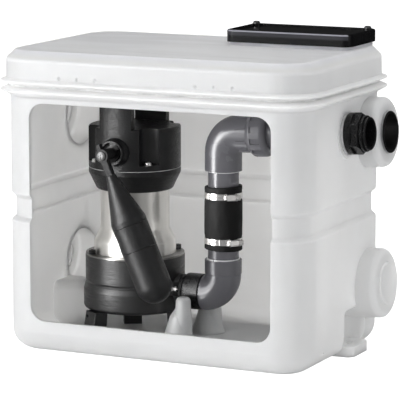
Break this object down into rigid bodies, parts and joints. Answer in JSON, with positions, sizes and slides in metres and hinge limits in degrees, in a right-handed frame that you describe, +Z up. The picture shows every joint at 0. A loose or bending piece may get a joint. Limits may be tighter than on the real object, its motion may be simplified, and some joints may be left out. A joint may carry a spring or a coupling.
{
  "type": "sewage pump station",
  "caption": "White moulded tank with a cut-away front wall, holding a submersible sewage pump with float switch, riser pipe, union, check valve and wall outlet.",
  "frame": {"origin": "middle of the tank's footprint, on the floor that it stands on", "axes": "+X towards the end wall with the outlet and the inlet seal, +Y towards the back wall, +Z up"},
  "size_m": [0.4822, 0.3046, 0.4111],
  "materials": {
    "tank_white": "translucent moulded polyethylene with a soft sheen",
    "gloss_black": "polished black moulding",
    "grained_black": "fine-grained satin black moulding",
    "float_black": "satin black moulding",
    "pvc_grey": "smooth dark grey pressure pipe",
    "cement_clear": "clear solvent cement",
    "rubber_black": "ribbed matt rubber",
    "rubber_grey": "soft grey sealing rubber",
    "stainless": "polished stainless sheet",
    "screw_steel": "plain stainless fastener",
    "black_steel": "blackened steel fastener",
    "lamination": "stacked electrical sheet",
    "copper": "enamelled copper wire",
    "carbon": "pressed active carbon",
    "bearing_steel": "ground bearing steel"
  },
  "bodies": {
    "station": {"tank": "tank_white", "inlet_seal": "rubber_black", "lid_gasket": "rubber_grey", "outlet_body": "grained_black", "outlet_inner_seal": "rubber_grey", "outlet_gasket": "rubber_grey", "outlet_nut": "grained_black", "outlet_lock_ring": "grained_black", "upper_elbow": "pvc_grey", "lower_elbow": "pvc_grey", "upper_pipe": "pvc_grey", "lower_pipe": "pvc_grey", "joint_beads": "cement_clear", "rubber_sleeve": "rubber_black", "lower_clamp": "stainless", "upper_clamp": "stainless", "clamp_screws": "screw_steel", "union_nut": "pvc_grey", "union_seal": "rubber_black", "union_tail": "pvc_grey", "check_valve_body": "pvc_grey", "flap_pin": "screw_steel", "discharge_socket": "grained_black", "discharge_screws": "screw_steel", "volute_casing": "grained_black", "suction_cover": "grained_black", "pump_feet": "grained_black", "casing_screws": "black_steel", "motor_shell": "stainless", "bearing_carrier": "grained_black", "shaft_seal": "bearing_steel", "lower_bearing": "bearing_steel", "upper_bearing": "bearing_steel", "stator_core": "lamination", "stator_windings": "copper", "head_ring": "grained_black", "head_cover": "grained_black", "head_screws": "screw_steel", "handle_bridge": "grained_black", "handle_screws": "screw_steel", "cable_gland": "grained_black", "capacitor": "grained_black", "microswitch": "grained_black", "spindle_seal": "rubber_black"},
    "lid_group": {"lid": "tank_white", "filter_cover": "gloss_black", "filter_cover_screws": "black_steel", "carbon_filter": "carbon"},
    "rotor_group": {"motor_shaft": "stainless", "rotor_core": "lamination", "impeller": "grained_black", "impeller_nut": "screw_steel"},
    "float_group": {"float_spindle": "grained_black", "float_arm": "float_black", "float_screw": "screw_steel", "float_neck": "float_black", "float_middle": "float_black", "float_cap": "float_black"},
    "flap": {"check_flap": "rubber_black"},
    "plunger": {"switch_plunger": "gloss_black"}
  },
  "joints": [
    {"name": "lid_lift", "type": "slide", "parent": "station", "child": "lid_group", "axis": [0, 0, 1], "range_m": [0, 0.18]},
    {"name": "rotor_spin", "type": "hinge", "parent": "station", "child": "rotor_group", "pos_m": [-0.088, 0.0035, 0.15], "axis": [0, 0, 1], "continuous": true},
    {"name": "float_swing", "type": "hinge", "parent": "station", "child": "float_group", "pos_m": [-0.0865, -0.09, 0.2528], "axis": [0, -1, 0], "range_deg": [0, 75]},
    {"name": "flap_swing", "type": "hinge", "parent": "station", "child": "flap", "pos_m": [0.14178, 0.0035, 0.30248], "axis": [0, -1, 0], "range_deg": [0, 55]},
    {"name": "plunger_slide", "type": "slide", "parent": "station", "child": "plunger", "axis": [0, 0, 1], "range_m": [0, 0.0022]}
  ],
  "couplings": [
    {"joint": "plunger_slide", "follows": "float_swing", "m_per_rad": 0.0015279}
  ]
}
